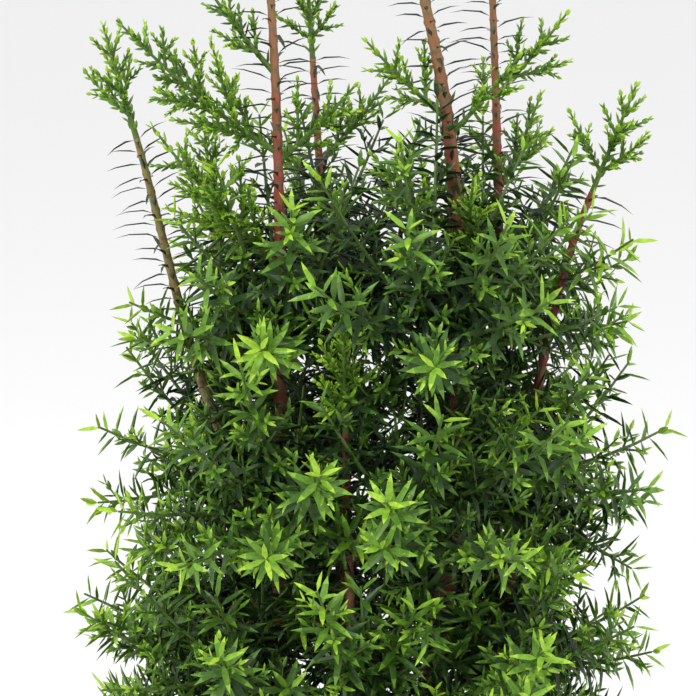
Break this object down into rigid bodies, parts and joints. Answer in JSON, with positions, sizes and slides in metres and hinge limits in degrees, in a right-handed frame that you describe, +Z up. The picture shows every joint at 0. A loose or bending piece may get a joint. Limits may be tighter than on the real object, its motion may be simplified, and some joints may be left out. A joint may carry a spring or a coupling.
{
  "type": "atlantic white cedar",
  "caption": "Small upright evergreen shrub with soft needle-like leaves in opposite pairs, reddish leading stems above a dense leafy body, and a flat cut at ground level.",
  "frame": {"origin": "centre of the flat cut under the trunk, at ground level", "axes": "+Z up along the plant; -Y towards the picture's camera; +X to the right in the picture"},
  "size_m": [0.1583, 0.1542, 0.3741],
  "materials": {
    "bark": "matte, reddish brown, with low ridges where leaves have fallen",
    "dense_foliage": "satin, deep green",
    "young_foliage": "satin, fresh yellow-green"
  },
  "bodies": {
    "root": {"bough_back": "bark", "bough_back_left": "bark", "bough_front": "bark", "bough_left": "bark", "bough_left_side": "bark", "bough_right": "bark", "bough_right_side": "bark", "foliage_low_1": "dense_foliage", "foliage_low_2": "dense_foliage", "foliage_low_3": "dense_foliage", "foliage_low_4": "dense_foliage", "foliage_low_5": "dense_foliage", "foliage_low_6": "dense_foliage", "foliage_lower_middle_1": "dense_foliage", "foliage_lower_middle_2": "dense_foliage", "foliage_lower_middle_3": "dense_foliage", "foliage_lower_middle_4": "dense_foliage", "foliage_lower_middle_5": "dense_foliage", "foliage_lower_middle_6": "dense_foliage", "foliage_lower_middle_7": "dense_foliage", "foliage_shoulder_1": "dense_foliage", "foliage_shoulder_2": "dense_foliage", "foliage_shoulder_3": "dense_foliage", "foliage_shoulder_4": "dense_foliage", "foliage_upper_1": "dense_foliage", "foliage_upper_2": "dense_foliage", "foliage_upper_3": "dense_foliage", "foliage_upper_4": "dense_foliage", "foliage_upper_5": "dense_foliage", "foliage_upper_6": "dense_foliage", "foliage_upper_middle_1": "dense_foliage", "foliage_upper_middle_2": "dense_foliage", "foliage_upper_middle_3": "dense_foliage", "foliage_upper_middle_4": "dense_foliage", "foliage_upper_middle_5": "dense_foliage", "foliage_upper_middle_6": "dense_foliage", "foliage_upper_middle_7": "dense_foliage", "spray_back_high": "young_foliage", "spray_back_low": "young_foliage", "spray_front": "young_foliage", "spray_left_high": "young_foliage", "spray_left_inner": "young_foliage", "spray_left_long": "young_foliage", "spray_left_low": "young_foliage", "spray_middle_high": "young_foliage", "spray_middle_low": "young_foliage", "spray_middle_right": "young_foliage", "spray_right_high": "young_foliage", "spray_right_low": "young_foliage", "tip_bough_back": "young_foliage", "tip_bough_back_left": "young_foliage", "tip_bough_front": "young_foliage", "tip_bough_left": "young_foliage", "tip_bough_left_side": "young_foliage", "tip_bough_right": "young_foliage", "tip_bough_right_side": "young_foliage", "tip_trunk": "young_foliage", "trunk": "bark"}
  },
  "joints": []
}
